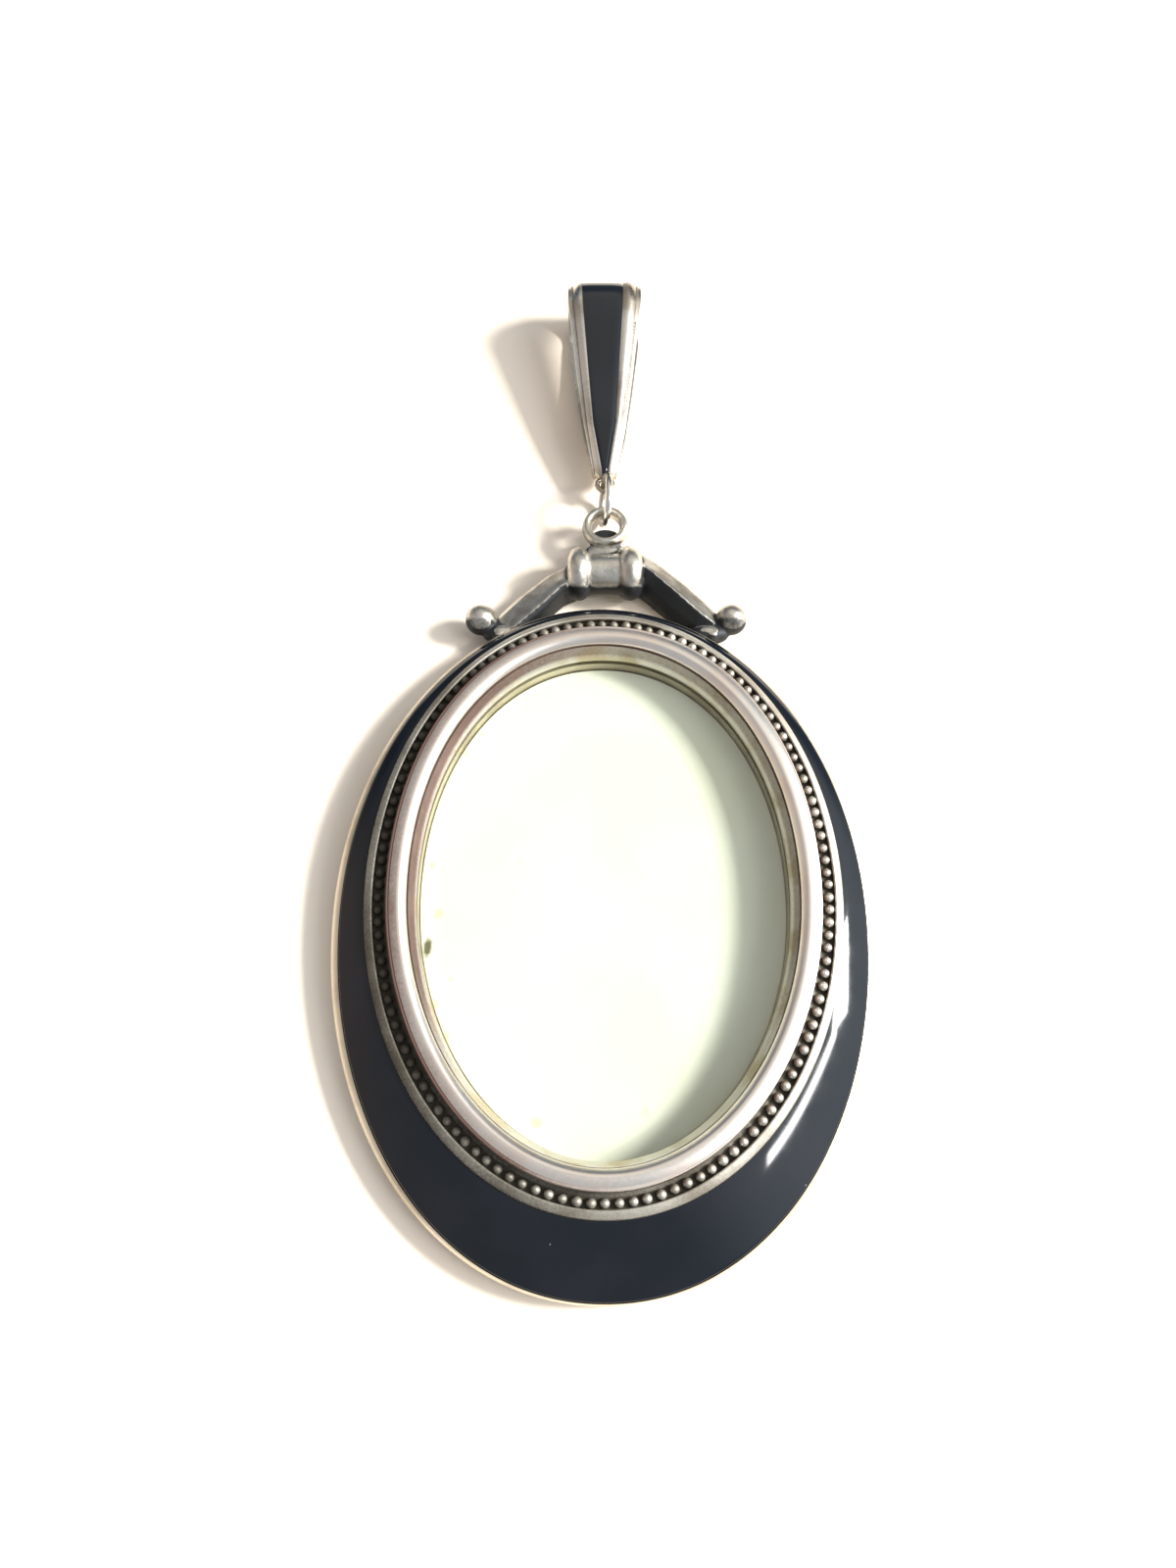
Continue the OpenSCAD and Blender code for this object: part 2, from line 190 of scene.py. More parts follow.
class Wire:
    """A socket of a shader. Arithmetic on it adds Math nodes, and node adds any other."""

    def __init__(self, tree, socket=None):
        self.tree = tree
        self.socket = socket

    def node(self, kind, settings=(), inputs=(), output=None):
        """A node of that type, with its settings set first, then the values or wires of its sockets."""
        made = self.tree.nodes.new(kind)
        for name, value in dict(settings).items():
            setattr(made, name, value)
        for key, value in dict(inputs).items():
            feed(self.tree, find_socket(made.inputs, key), value)
        return Wire(self.tree, find_socket(made.outputs, output))

    def math(self, operation, *values):
        """Math node with that operation."""
        return self.node("ShaderNodeMath", {"operation": operation}, dict(enumerate(values)))

    def __add__(self, other):
        return self.math("ADD", self, other)

    __radd__ = __add__

    def __sub__(self, other):
        return self.math("SUBTRACT", self, other)

    def __rsub__(self, other):
        return self.math("SUBTRACT", other, self)

    def __mul__(self, other):
        return self.math("MULTIPLY", self, other)

    __rmul__ = __mul__

    def __pow__(self, other):
        return self.math("POWER", self, other)

    def between(self, low, high):
        """0 below low, 1 above high, with a soft step between."""
        return self.node("ShaderNodeMapRange", {"interpolation_type": "SMOOTHSTEP"},
                         {"Value": self, "From Min": low, "From Max": high})

    def blend(self, first, second):
        """Colour that goes from the first to the second as this goes from 0 to 1."""
        return self.node("ShaderNodeMix", {"data_type": "RGBA"},
                         {"Factor": self, "A": first, "B": second}, "Result")


def tone(red, green, blue):
    """Linear colour from one read off, 0 to 255."""
    shares = [v / 255 for v in (red, green, blue)]
    return (*(s / 12.92 if s < 0.04 else ((s + 0.055) / 1.055) ** 2.4 for s in shares), 1)


def new_finish(name):
    """A material and a wire from its Object coordinates."""
    material = bpy.data.materials.new(name)
    material.use_nodes = True
    return material, Wire(material.node_tree).node("ShaderNodeTexCoord", output="Object")


def grain(surface, per_mm, detail=3.0, stretch=(1, 1, 1)):
    """Noise over a surface, with so many lumps in a millimetre."""
    if stretch != (1, 1, 1):
        surface = surface.node("ShaderNodeMapping", {}, {"Vector": surface, "Scale": stretch})
    return surface.node("ShaderNodeTexNoise", {},
                        {"Vector": surface, "Scale": per_mm / MM, "Detail": detail}, "Fac")


def relief(surface, height, depth_mm):
    """Bumped normal from a height that goes from 0 to 1."""
    return surface.node("ShaderNodeBump", {},
                        {"Strength": 1.0, "Distance": depth_mm * MM, "Height": height}, "Normal")


def put_on(material, values):
    """Feeds values or wires to the material's own shader."""
    shader = material.node_tree.nodes["Principled BSDF"]
    for name, value in values.items():
        feed(material.node_tree, find_socket(shader.inputs, name), value)


def worn_silver(name, clean, stained, dark, dullness, wear_mm=0.006):
    """Worn silver: cloudy stains, fine scratches, and dark where its attribute of tarnish and painted
    shade says.
    """
    material, surface = new_finish(name)
    cloud = grain(surface, 0.22, 5)
    fine = grain(surface, 5, 4)
    scratch = grain(surface, 9, 3, (1, 0.12, 1))
    tarnish_and_shade = surface.node("ShaderNodeAttribute", {"attribute_name": "tarnish_and_shade"}, output="Fac")
    darkness = (tarnish_and_shade + (fine - 0.5) * 0.25 + (cloud - 0.5) * 0.3).between(0.12, 0.85)
    colour = darkness.blend(cloud.between(0.42, 0.66).blend(clean, stained), dark)
    put_on(material, {
        "Base Color": colour,
        "Metallic": 1 - darkness * 0.55,
        "Roughness": cloud * 0.14 + fine * 0.1 + darkness * 0.3 + (dullness - 0.1),
        "Normal": relief(surface, scratch + fine, wear_mm),
    })
    return material


case_silver = worn_silver("case silver", tone(222, 213, 194), tone(198, 187, 167), tone(66, 52, 42), 0.4)
BACK_ROUND = 0.3
BED_DROP = 0.06
LEDGE_DROP = 0.96
LEDGE_W = 0.5
FLOOR_Z = 0.6
# The rolled edge in section, as steps in from its outside and up from its height
EDGE_ROLL = [(0, -0.46), (0.06, -0.28), (0.2, -0.04), (0.5, 0.15), (0.56, 0.17), (EDGE_W, 0.12)]
ledge_z = seat_z - LEDGE_DROP
bed = [(across_crescent(i / 8), dome(EDGE_Z - BED_DROP, seat_z, i / 8)) for i in range(9)]
case_outline = (
    [(0, 0), (case_w - BACK_ROUND - 1, 0)]
    + arc((case_w - BACK_ROUND, BACK_ROUND), BACK_ROUND, -90, 0, 5)
    + [(case_w - inward, EDGE_Z + up) for inward, up in EDGE_ROLL]
    + bed
    + [(well_w, seat_z), (well_w, ledge_z), (well_w - LEDGE_W, ledge_z)]
    + [(well_w - LEDGE_W, FLOOR_Z), (0, FLOOR_Z)]
)
set_down("case", oval_ring(case_outline, closed=False), case_silver, "frame")

# Enamel crescent. Black glass enamel, fired on the domed case and polished: it is wide at the
# foot of the oval and runs out thin under the crest. It has a soft shoulder at its outer edge.
enamel_foot, enamel_outer_z = EDGE_Z - 0.02, EDGE_Z + 0.25
enamel_top = box_mm("enamel")[1][2]
SHOULDER = 0.04


def enamel_height(share):
    """Height of the enamel at a share of the way in, with its shoulder rounded off."""
    rise = min(share / SHOULDER, 1)
    swell = dome(enamel_outer_z, enamel_top, share) - enamel_foot
    return enamel_foot + swell * math.sqrt(1 - (1 - rise) ** 2)


# Glossy and a little wavy, with faint clouds and a few specks of dust
black_enamel, surface = new_finish("black enamel")
cloud = grain(surface, 0.16, 3)
veil = grain(surface, 0.5, 4)
waves = grain(surface, 0.28, 2)
speck = surface.node("ShaderNodeTexVoronoi", {"feature": "F1"},
                     {"Vector": surface, "Scale": 0.3 / MM, "Randomness": 1.0}, "Distance")
dust = 1 - speck.between(0.01, 0.022)
black = cloud.between(0.4, 0.7).blend(tone(10, 16, 22), tone(18, 21, 27))
put_on(black_enamel, {
    "Base Color": dust.blend(black, tone(104, 104, 100)),
    "Roughness": 0.06 + veil.between(0.35, 0.75) * 0.03 + dust * 0.3,
    "IOR": 1.5,
    "Normal": relief(surface, waves, 0.002),
})
shares = [SHOULDER * (1 - math.cos(math.radians(a))) for a in range(0, 91, 15)]
shares += [SHOULDER + (1 - SHOULDER) * i / 24 for i in range(1, 25)]
enamel_outline = [(across_crescent(s), enamel_height(s)) for s in shares]
enamel_outline += [(half_width, height + GAP) for half_width, height in reversed(bed)]
set_down("enamel_crescent", oval_ring(enamel_outline), black_enamel, "enamel", 60)

# Bead border. A silver band that slopes up from the inner edge of the enamel, and a row of small
# round grains in the groove inside it, all soldered together. The groove has gone dark.
BAND_W = 0.68
BAND_H = 0.9
GROOVE_T = 0.36
BEADS = 128
BEAD_R = 0.37
BEAD_SIZES = (0.9, 1.06)
BEAD_SHIFT = 0.03
BEAD_ROW_IN = 0.41
# The band's top in section, as steps in from the rim's outside and down from its highest point
BAND_TOP = [(0.04, 0.32), (0.1, 0.24), (0.29, 0.12), (0.54, 0.01), (0.61, 0), (0.67, 0.05), (BAND_W, 0.12)]
base_z = seat_z + GAP
groove_z = base_z + GROOVE_T
band_in = rim_w - BAND_W
band_z = base_z + BAND_H
bead_row_w = band_in - BEAD_ROW_IN


def border_dark(half_width, height):
    """The band is lightly tarnished on top, and the groove is black under the beads and brown beside them.
    """
    if half_width > band_in + 0.04 or height > groove_z + 0.2:
        return 0.3
    return 0.72 if half_width < bead_row_w - 0.36 else 1.0


border_outline = (
    [(bezel_w + GAP, base_z), (rim_w - GAP, base_z)]
    + [(rim_w - inward, band_z - down) for inward, down in BAND_TOP]
    + [(band_in, groove_z + 0.14), (band_in, groove_z), (bead_row_w - 0.3, groove_z)]
    + [(bead_row_w - 0.42, groove_z + 0.08), (bezel_w + GAP, groove_z + 0.1)]
)
border = oval_ring(border_outline, border_dark)


def even_turns(half_width, count):
    """Angles that lie the same distance apart along an oval."""
    fine_turns = np.linspace(-math.pi / 2, 1.5 * math.pi, 2001)
    points = np.array([on_oval(half_width, t) for t in fine_turns])
    walked = np.concatenate([[0], np.cumsum(np.hypot(*np.diff(points, axis=0).T))])
    return np.interp(np.arange(count) * walked[-1] / count, walked, fine_turns)


random.seed(7)
tarnish_and_shade = border.verts.layers.float["tarnish_and_shade"]
for turn in even_turns(bead_row_w, BEADS):
    x, y = on_oval(bead_row_w, turn)
    size = BEAD_R * random.uniform(*BEAD_SIZES)
    shift_x, shift_y = [random.uniform(-BEAD_SHIFT, BEAD_SHIFT) for _ in range(2)]
    place = Matrix.Translation((x + shift_x, y + shift_y, groove_z + BEAD_R * 0.6))
    bead = bmesh.ops.create_uvsphere(border, u_segments=12, v_segments=8, radius=size, matrix=place)
    # Painted shade over the beads' tarnish: they darken towards the left, in the bezel's shadow, and
    # towards the far end
    bead_tarnish_and_shade = np.interp(x / bead_row_w, (-1, -0.2, 0.6), (0.85, 0.5, 0.28))
    bead_tarnish_and_shade += 0.08 * max(math.sin(turn), 0)
    for vert in bead["verts"]:
        vert[tarnish_and_shade] = 0.9 if vert.co.z < groove_z + BEAD_R * 0.7 else bead_tarnish_and_shade
# Painted shade and light over the band's own tarnish: the band is darker on the left and at the near end,
# and the groove is lighter at the far end
for vert in border.verts:
    left, far = max(-vert.co.x / rim_w, 0), (vert.co.y - rim_y) / rim_l
    if math.hypot(vert.co.x / band_in, (vert.co.y - rim_y) / (rim_l - BAND_W)) > 0.985:
        vert[tarnish_and_shade] = max(vert[tarnish_and_shade], 0.3 + 0.35 * left + 0.25 * max(-far, 0))
    elif vert.co.z < groove_z + 0.12:
        vert[tarnish_and_shade] *= 1 - 0.7 * max(far, 0)
border_silver = worn_silver("border silver", tone(230, 225, 212), tone(190, 181, 166),
                            tone(74, 68, 57), 0.4)
set_down("bead_border_ring", border, border_silver, "bead_border", 60)

# Bezel. The highest ring of the front: a smooth silver moulding with a fine bead along its outer
# edge, a gentle slope up from it and a steeper one down to the lip. It is pressed over the seat.
bezel_top = box_mm("bezel")[1][2]
BEZEL_W = 1.5
EDGE_BEAD_R = 0.1
# How far in the two slopes start and meet, and how far each of them falls from the top
SLOPE_FROM, PEAK, SLOPE_TO = 0.2, 0.9, 1.46
OUTER_DROP, INNER_DROP = 0.17, 0.38
outer_slope = [
    (bezel_w - SLOPE_FROM - (PEAK - SLOPE_FROM) * i / 8, bezel_top - OUTER_DROP * (1 - i / 8) ** 2)
    for i in range(9)
]
inner_slope = [
    (bezel_w - PEAK - (SLOPE_TO - PEAK) * i / 8, bezel_top - INNER_DROP * (i / 8) ** 2)
    for i in range(1, 9)
]
bezel_outline = (
    [(bezel_w - GAP, base_z), (bezel_w, bezel_top - 0.5)]
    + arc((bezel_w - EDGE_BEAD_R, bezel_top - OUTER_DROP - 0.09), EDGE_BEAD_R, 0, 130, 6)
    + outer_slope
    + inner_slope
    + [(bezel_w - BEZEL_W, bezel_top - INNER_DROP - 0.12), (bezel_w - BEZEL_W, base_z)]
)


def bezel_dark(half_width, height):
    """Dark on its outer foot, stained along the outer slope, where painted shade is added below, and dark
    in the corner over the lip.
    """
    if height < bezel_top - INNER_DROP - 0.1:
        return 0.8
    if half_width > bezel_w - 0.25:
        return 0.5
    return 0.25 if half_width > bezel_w - 0.85 else 0.0


bezel_silver = worn_silver("bezel silver", tone(244, 236, 226), tone(236, 222, 210),
                           tone(96, 72, 64), 0.3, 0.0012)
bezel = oval_ring(bezel_outline, bezel_dark)
tarnish_and_shade = bezel.verts.layers.float["tarnish_and_shade"]
# Painted shade: its stains are made strong on the left, away from the lamp, and faint on the right, where
# it is lit
for vert in bezel.verts:
    if vert.co.z > bezel_top - INNER_DROP - 0.1:
        vert[tarnish_and_shade] *= np.interp(vert.co.x / bezel_w, (-1, -0.3, 0.5), (2.3, 1.4, 0.3))
set_down("bezel_ring", bezel, bezel_silver, "bezel", 50)

# Gilt lip. A thin gilt ring like a steep funnel, pressed down inside the bezel on the edge of the
# glass. The gilding is worn in patches, and its colour is made browner on the left and higher up,
# and palest at the foot of the window.
lip_outer = lip_high[0]
lip_foot = lip_low[2]
lip_top = bezel_top - INNER_DROP - 0.34
lip_outline = [
    (lip_outer, lip_foot),
    (lip_outer, lip_top),
    (lip_outer - 0.06, lip_top),
    (lip_outer - LIP_W * 0.5, seat_z + 0.36),
    (lip_outer - LIP_W * 0.9, seat_z + 0.02),
    (sight_w, seat_z - 0.12),
    (sight_w, lip_foot),
]
gilt, surface = new_finish("worn gilt")
patches = grain(surface, 0.35, 5).between(0.45, 0.68)
fine = grain(surface, 4, 4)
brown = surface.node("ShaderNodeAttribute", {"attribute_name": "tarnish_and_shade"}, output="Fac")
brown = (brown + (fine - 0.5) * 0.2).between(0.1, 0.9)
pale = patches.blend(tone(228, 223, 212), tone(196, 183, 152))
put_on(gilt, {
    "Base Color": brown.blend(pale, tone(98, 76, 68)),
    "Metallic": 1 - patches * 0.3 - brown * 0.5,
    "Roughness": 0.38 + fine * 0.2,
    "Normal": relief(surface, fine, 0.006),
})
lip = oval_ring(lip_outline)
tarnish_and_shade = lip.verts.layers.float["tarnish_and_shade"]
for vert in lip.verts:
    left = clamp(-vert.co.x / lip_outer)
    low = clamp((rim_y - vert.co.y) / lip_outer - 0.4)
    browned = 0.55 + 0.5 * left if vert.co.z > seat_z + 0.3 else 0.6 * left
    vert[tarnish_and_shade] = max(browned * (1 - low), 0.1)
set_down("gilt_lip", lip, gilt, "gilt_ring", 70)

# Front glass. A clear, slightly domed crystal that rests on the well's ledge and is held by the
# gilt lip. Only its reflections show.
glass_low, glass_high = box_mm("glass")
# How far the glass's edge lies under the solid's top, and how much its middle rises over the edge
GLASS_DROP, GLASS_RISE = 0.4968, 0.495
glass_foot, glass_edge_z = glass_low[2], glass_high[2] - GLASS_DROP
lens_w = sight_w - GAP
lens = [(lens_w * (1 - i / 14), glass_edge_z + GLASS_RISE * (1 - (1 - i / 14) ** 2)) for i in range(15)]
glass_outline = [(0, glass_foot), (lip_outer, glass_foot), (lip_outer, glass_edge_z)] + lens
clear_glass = bpy.data.materials.new("clear glass")
clear_glass.use_nodes = True
wires = Wire(clear_glass.node_tree)
# Almost clear from above, and a mirror towards the edge of sight
facing = wires.node("ShaderNodeLayerWeight", {}, {"Blend": 0.5}, "Facing")
through = wires.node("ShaderNodeBsdfTransparent", {}, {"Color": (0.985, 0.995, 0.965, 1)})
sheen = wires.node("ShaderNodeBsdfGlossy", {}, {"Roughness": 0.04})
pane = wires.node("ShaderNodeMixShader", {}, {0: facing ** 5 * 0.96 + 0.035, 1: through, 2: sheen})
feed(clear_glass.node_tree, clear_glass.node_tree.nodes["Material Output"].inputs["Surface"], pane)
set_down("front_glass", oval_ring(glass_outline, closed=False), clear_glass, "glass", 50)

# Backing card. A white card on the floor of the case, behind the glass, matt and slightly
# greenish with age, with a few dark and yellow stains.
card_low, card_high = box_mm("card")
card_w = card_high[0]
card_outline = [(0, card_low[2]), (card_w, card_low[2])]
card_outline += [(card_w, card_high[2]), (card_w * 0.5, card_high[2]), (0, card_high[2])]
# The camera of the photo, in millimetres, degrees and pixels
CAMERA_PLACE = (-1.15, -39.18, 84.13)
CAMERA_TILT = 22
FOCAL_PX, IMAGE_W, IMAGE_H = 1155, 1200, 1600
# Pixel across and down where the photo shows each stain, its half width and half length in
# millimetres, its depth and its colour
STAINS = [
    (436, 967, 0.36, 0.75, 1.0, (86, 84, 58)),
    (448, 932, 0.32, 0.4, 0.55, (206, 200, 128)),
    (441, 883, 0.22, 0.3, 0.5, (150, 160, 120)),
    (532, 880, 0.25, 0.3, 0.25, (196, 200, 180)),
    (460, 999, 0.22, 0.25, 0.35, (170, 172, 140)),
    (443, 1025, 0.3, 0.45, 0.5, (212, 200, 120)),
    (455, 1060, 0.25, 0.6, 0.5, (190, 176, 110)),
    (547, 1146, 0.42, 0.35, 0.6, (176, 184, 150)),
    (658, 1134, 0.35, 0.4, 0.45, (176, 190, 168)),
    (653, 991, 0.3, 0.3, 0.2, (200, 206, 190)),
    (531, 713, 0.3, 0.2, 0.3, (190, 190, 160)),
    (476, 769, 0.3, 0.4, 0.4, (216, 206, 140)),
    (491, 749, 0.25, 0.3, 0.4, (216, 206, 140)),
]


def under_pixel(pixel_x, pixel_y, height):
    """Place across and along of what the photo shows at a pixel, if it lies at that height."""
    sight = Vector((pixel_x - IMAGE_W / 2, IMAGE_H / 2 - pixel_y, -FOCAL_PX))
    sight.rotate(Matrix.Rotation(math.radians(CAMERA_TILT), 3, "X"))
    place = Vector(CAMERA_PLACE) + sight * (height - CAMERA_PLACE[2]) / sight.z
    return place.x, place.y


white_card, surface = new_finish("white card")
soft = grain(surface, 0.08, 3)
fibre = grain(surface, 7, 4)
ragged = grain(surface, 1.4, 3)
paper = soft.between(0.35, 0.7).blend(tone(216, 217, 207), tone(213, 213, 199))
for pixel_x, pixel_y, half_w, half_l, depth, colour in STAINS:
    x, y = under_pixel(pixel_x, pixel_y, card_high[2])
    spread = surface.node("ShaderNodeVectorMath", {"operation": "MULTIPLY_ADD"}, {
        0: surface,
        1: (1 / (half_w * MM), 1 / (half_l * MM), 0),
        2: (-x / half_w, -y / half_l, 0),
    })
    reach = spread.node("ShaderNodeVectorMath", {"operation": "LENGTH"}, {0: spread}, "Value")
    spot = (1 - (reach + (ragged - 0.5) * 1.2).between(0.5, 1.3)) * depth
    paper = spot.blend(paper, tone(*colour))
put_on(white_card, {
    "Base Color": paper,
    "Roughness": 0.75 + fibre * 0.2,
    "Normal": relief(surface, fibre, 0.01),
})
set_down("backing_card", oval_ring(card_outline, closed=False), white_card, "card")

# Crest. One casting in silver with a dark patina in its hollows, and painted shade on its faces
# that look down, towards the case or to the left: a spool between two rounded collars, two sloping
# arms that end in balls on the case's shoulders, and a ring on its top.
jump_low, jump_high = box_mm("jump_ring")
crest_x = (jump_low + jump_high)[0] / 2
SPOOL_Y = 29.6
SPOOL_R = 1.72
COLLAR_R = 2.24
COLLAR_T = 1.9
COLLAR_GAP = 4.35
SPOOL_X = -0.1
ARM_FOOT = 0.35
EYE_Y, EYE_Z, EYE_R, EYE_WIRE, EYE_TALL = 34.05, 2.5, 1.6, 0.4, 1.7
# The ball at the end of each arm and the lumps under it: place, radius and stretch
ARM_ENDS = [
    ((10.4, 25.35, 1.95), 1.3, (1, 1, 1)),
    ((9.5, 24.65, 1.4), 0.85, (1, 1, 1)),
    ((8.5, 24.1, 1.6), 1, (1.7, 0.8, 0.95)),
    ((8.8, 23.75, 2.1), 0.5, (1, 1, 1)),
]
# The saddle that the ring stands on: place, radius and stretch
SADDLE = [
    ((0, 31.9, 1.8), 1, (1.9, 0.9, 0.8)),
    ((0, 33.3, 1.8), 1, (1.4, 1.0, 0.5)),
]
# Place along the crest, distance from the case's centre, half depth and half height of each arm
ARMS = {
    -1: np.array([(1.7, 30.1, 1.5, 1.6), (4.3, 28.7, 1.4, 1.5), (6.4, 26.8, 1.5, 1.36),
                  (8.2, 25.1, 1.35, 1.16), (9.7, 24.3, 0.85, 0.95)]),
    1: np.array([(1.2, 31.6, 1.45, 1.5), (3.95, 29.4, 1.5, 1.5), (5.95, 27.6, 1.6, 1.36),
                 (8.1, 25.6, 1.4, 1.16), (9.7, 24.4, 0.85, 0.95)]),
}
# Once round each arm, from its far foot over the ridge to its near foot
ARM_SECTIONS = {
    -1: [(-1, -1), (-1, -0.3), (-0.6, 0.3), (0.3, 0.8), (0.8, 1), (1, 0.7), (1, -1)],
    1: [(-1, -1), (-1, -0.1), (-0.7, 0.45), (0.15, 1), (0.75, 0.3), (1, -0.3), (1, -1)],
}


def skin(bm, rows):
    """Lays a grid on rows of points, each row once round a section, and caps its ends."""
    across, along = len(rows[0]), len(rows) - 1
    grid = bmesh.ops.create_grid(bm, x_segments=across, y_segments=along, size=1)["verts"]
    for vert in grid:
        column = round((vert.co.x + 1) / 2 * across)
        row = round((vert.co.y + 1) / 2 * along)
        vert.co = rows[row][column % across]
    bmesh.ops.remove_doubles(bm, verts=grid, dist=0.0005)
    bmesh.ops.holes_fill(bm, edges=[e for e in bm.edges if e.is_boundary], sides=0)


def torus(bm, centre, radius, wire, tilt=0.0, tall=1.0):
    """Round ring, level, or tilted about Y by an angle in degrees. tall stretches its wire upwards."""
    before = set(bm.verts)
    upright = Matrix.Rotation(math.pi / 2, 4, "X") @ Matrix.Diagonal((1, tall, 1, 1))
    upright = Matrix.Translation((radius, 0, 0)) @ upright
    circle = bmesh.ops.create_circle(bm, segments=20, radius=wire, matrix=upright)["verts"]
    edges = [e for e in bm.edges if not before.issuperset(e.verts)]
    spin_round(bm, circle + edges, 72)
    place = Matrix.Translation(centre) @ Matrix.Rotation(math.radians(tilt), 4, "Y")
    bmesh.ops.transform(bm, matrix=place, verts=[v for v in bm.verts if v not in before])


def ball(bm, centre, radius, stretch=(1, 1, 1)):
    """Round ball, or one that is stretched along X, Y and Z."""
    place = Matrix.Translation(centre) @ Matrix.Diagonal((*stretch, 1))
    bmesh.ops.create_icosphere(bm, subdivisions=4, radius=radius, matrix=place)


def arm_rows(side, steps=24):
    """Sections of one arm, spaced evenly along its table of stations."""
    arm = ARMS[side]
    last = len(arm) - 1
    rows = []
    for spot in np.linspace(0, last, steps + 1):
        here, ahead, behind = [
            [np.interp(s, range(last + 1), arm[:, k]) for k in range(4)]
            for s in (spot, min(spot + 0.5, last), max(spot - 0.5, 0))
        ]
        x, y, half_depth, half_height = here
        turn = math.atan2(ahead[1] - behind[1], ahead[0] - behind[0])
        rows.append([
            (side * (x + p * half_depth * math.sin(turn)), y - p * half_depth * math.cos(turn),
             ARM_FOOT + (q + 1) * half_height)
            for p, q in ARM_SECTIONS[side]
        ])
    return rows


def lathe_along_x(bm, middle_x, outline):
    """Spins an outline of places along X and radii about the spool's axis."""
    before = set(bm.verts)
    chain = [bm.verts.new((middle_x + x, SPOOL_Y, COLLAR_R + r)) for x, r in outline]
    edges = [bm.edges.new(pair) for pair in zip(chain, chain[1:])]
    spin_round(bm, chain + edges, 64, (0, SPOOL_Y, COLLAR_R), (1, 0, 0))
    bmesh.ops.remove_doubles(bm, verts=[v for v in bm.verts if v not in before], dist=0.0005)


crest = bmesh.new()
bead_half = COLLAR_T / 2
lathe_along_x(crest, SPOOL_X, [(-COLLAR_GAP / 2, 0), (-COLLAR_GAP / 2, SPOOL_R), (0, SPOOL_R * 0.97),
                               (COLLAR_GAP / 2, SPOOL_R), (COLLAR_GAP / 2, 0)])
for side in (-1, 1):
    collar = [(-bead_half, 0)] + arc((0, COLLAR_R - bead_half), bead_half, 180, 0, 14) + [(bead_half, 0)]
    lathe_along_x(crest, SPOOL_X + side * COLLAR_GAP / 2, collar)
    skin(crest, arm_rows(side))
    for (x, y, z), radius, stretch in ARM_ENDS:
        ball(crest, (side * x, y, z), radius, stretch)
torus(crest, (0, EYE_Y, EYE_Z), EYE_R, EYE_WIRE, tall=EYE_TALL)
for centre, radius, stretch in SADDLE:
    ball(crest, centre, radius, stretch)
bmesh.ops.recalc_face_normals(crest, faces=crest.faces)


def recast(bm, voxel):
    """Melts overlapping shapes into one skin, as in a casting."""
    mesh = bpy.data.meshes.new("cast")
    bm.to_mesh(mesh)
    bm.free()
    rough = bpy.data.objects.new("cast", mesh)
    bpy.context.collection.objects.link(rough)
    melt = rough.modifiers.new("melt", "REMESH")
    melt.mode = "VOXEL"
    melt.voxel_size = voxel
    melted = rough.evaluated_get(bpy.context.evaluated_depsgraph_get()).to_mesh()
    cast = bmesh.new()
    cast.from_mesh(melted)
    bpy.data.objects.remove(rough)
    return cast


def tarnish_hollows_and_paint_shade(bm, rounds, depth):
    """Writes how deep each point lies under the smoothed surface, as patina in the hollows, and adds
    painted shade: it darkens the faces that look down, towards the case or to the left, the feet
    beside the case and the floor of the ring."""
    layer = bm.verts.layers.float.new("tarnish_and_shade")
    bm.verts.index_update()
    bm.normal_update()
    start = np.array([v.co for v in bm.verts])
    normals = np.array([v.normal for v in bm.verts])
    pairs = np.array([(e.verts[0].index, e.verts[1].index) for e in bm.edges])
    ends = np.concatenate([pairs[:, 0], pairs[:, 1]])
    others = np.concatenate([pairs[:, 1], pairs[:, 0]])
    count = np.bincount(ends, minlength=len(start))
    soft = start.copy()
    for _ in range(rounds):
        soft = np.stack([np.bincount(ends, soft[others, k], len(start)) / count for k in range(3)], 1)
    x, y, z = start.T
    darkness = ((soft - start) * normals).sum(1) / depth
    # Painted shade on faces that look down
    under = np.clip(-normals[:, 2] * 0.8 + 0.1, 0, 1)
    # Painted shade: the spool and its collars darken below a line through their axis, and the rest by its
    # slope
    below_axis = -((y - SPOOL_Y) * 0.87 + (z - COLLAR_R) * 0.49) / COLLAR_R
    turned = np.abs(x - SPOOL_X) < (COLLAR_GAP + COLLAR_T) / 2 + 0.03
    near = np.where(turned, below_axis * 4 - 1.4, -normals[:, 1] * 3 - 0.3)
    near = np.clip(near, 0, 1) * (1 - 0.5 * (y > 31.6) - 0.4 * (np.abs(x) > 9.5))
    # Painted shade on faces turned to the left, away from the lamp, on the feet beside the case and on the
    # floor of the ring
    left = np.clip(-normals[:, 0] * 0.9 - 0.45, 0, 1)
    feet = np.clip((25.0 - y) * 1.2, 0, 0.9) * (np.abs(x) > 6.8) * (z < 2.45)
    ring_floor = 0.8 * (np.abs(x) < 2.1) * (y > 31.4) * (y < EYE_Y + 0.5) * (z < 2.3)
    for vert, value in zip(bm.verts, np.clip(darkness, 0, 1) + under + near + left + feet + ring_floor):
        vert[layer] = min(value, 1)


CAST_VOXEL = 0.1
SMOOTH_ROUNDS = 6
HOLLOW_ROUNDS, HOLLOW_DEPTH = 40, 0.12
crest = recast(crest, CAST_VOXEL)
for _ in range(SMOOTH_ROUNDS):
    bmesh.ops.smooth_vert(crest, verts=crest.verts, factor=0.5,
                          use_axis_x=True, use_axis_y=True, use_axis_z=True)
tarnish_hollows_and_paint_shade(crest, HOLLOW_ROUNDS, HOLLOW_DEPTH)
bmesh.ops.translate(crest, vec=(crest_x, case_y, 0), verts=crest.verts)
